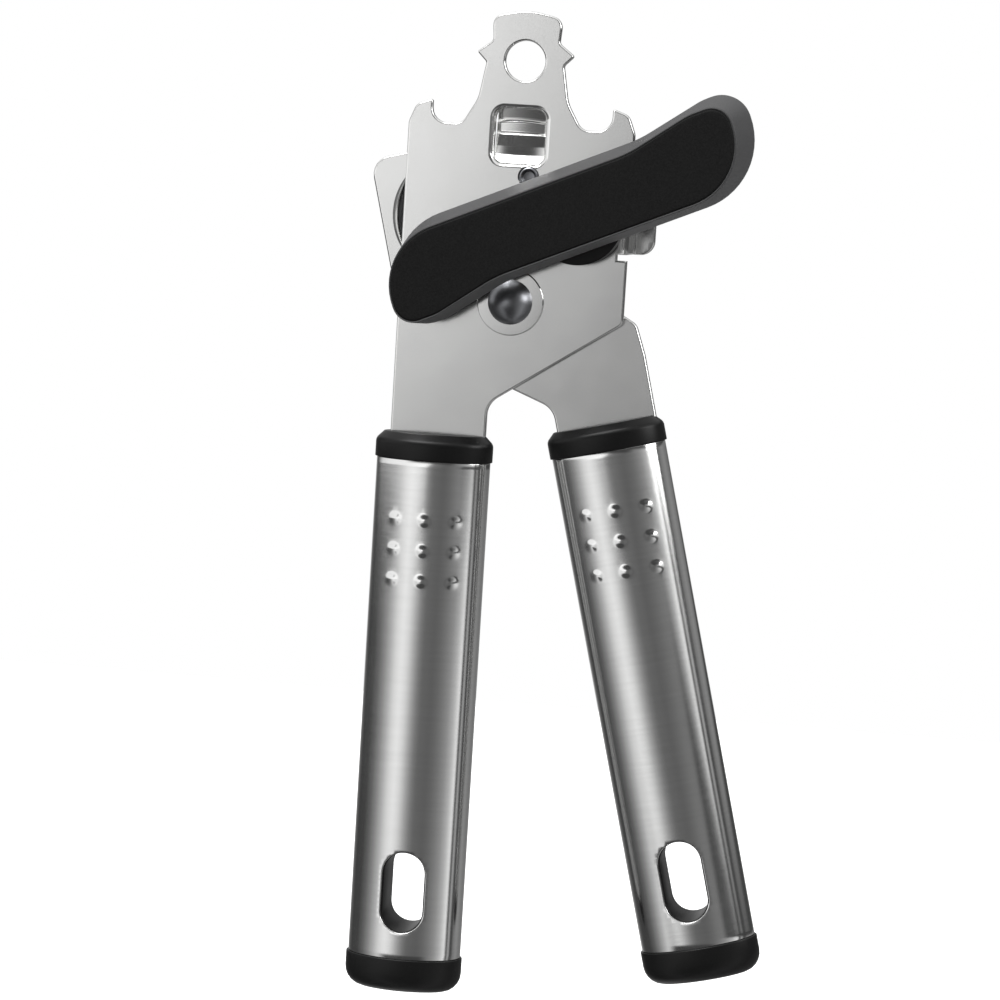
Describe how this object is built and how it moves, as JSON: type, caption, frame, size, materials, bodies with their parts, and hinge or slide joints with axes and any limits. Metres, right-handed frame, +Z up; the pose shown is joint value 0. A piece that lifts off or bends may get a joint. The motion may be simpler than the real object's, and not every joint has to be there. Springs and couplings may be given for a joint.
{
  "type": "manual can opener",
  "caption": "Hand-held can opener with two riveted steel levers, oval steel grips, an S-shaped turning key, a feed wheel, a cutter wheel, cap hooks and a hang hole.",
  "frame": {"origin": "centre of the hang hole, midway through the front lever's sheet", "axes": "+Z up along the front lever's axis from the handles to the hang hole, -Y towards the key at the front, +X towards the side where the rear handle swings open"},
  "size_m": [0.0924, 0.0319, 0.2082],
  "materials": {
    "pressed_steel": "satin polished",
    "brushed_sleeve": "fine brushed around the grip",
    "dark_steel": "polished",
    "cutter_steel": "ground",
    "brass": "satin",
    "black_plastic": "satin",
    "key_plastic": "satin",
    "soft_pad": "fine matt grain"
  },
  "bodies": {
    "front": {"front_lever": "pressed_steel", "pivot_rivet": "dark_steel", "pivot_front_washer": "pressed_steel", "pivot_spacer": "pressed_steel", "pivot_rear_washer": "pressed_steel", "stop_pin": "dark_steel", "shaft_bush": "brass", "left_sleeve": "brushed_sleeve", "left_insert": "black_plastic", "left_end_plug": "black_plastic", "left_tang_pin": "dark_steel"},
    "rear": {"rear_lever": "pressed_steel", "cutter_stud": "dark_steel", "cutter_washer": "pressed_steel", "right_sleeve": "brushed_sleeve", "right_insert": "black_plastic", "right_end_plug": "black_plastic", "right_tang_pin": "dark_steel"},
    "key": {"key_body": "key_plastic", "key_pad": "soft_pad", "key_collar": "black_plastic", "drive_shaft": "dark_steel", "thrust_washer": "pressed_steel", "feed_wheel": "dark_steel"},
    "cutter": {"cutter_wheel": "cutter_steel"}
  },
  "joints": [
    {"name": "handle_pivot", "type": "hinge", "parent": "front", "child": "rear", "pos_m": [0, 0, -0.0502], "axis": [0, 1, 0], "range_deg": [-28, 14]},
    {"name": "key_spin", "type": "hinge", "parent": "front", "child": "key", "pos_m": [0.013, 0, -0.0302], "axis": [0, 1, 0], "continuous": true},
    {"name": "cutter_spin", "type": "hinge", "parent": "rear", "child": "cutter", "pos_m": [-0.01331, 0, -0.03292], "axis": [0, 1, 0], "continuous": true}
  ]
}
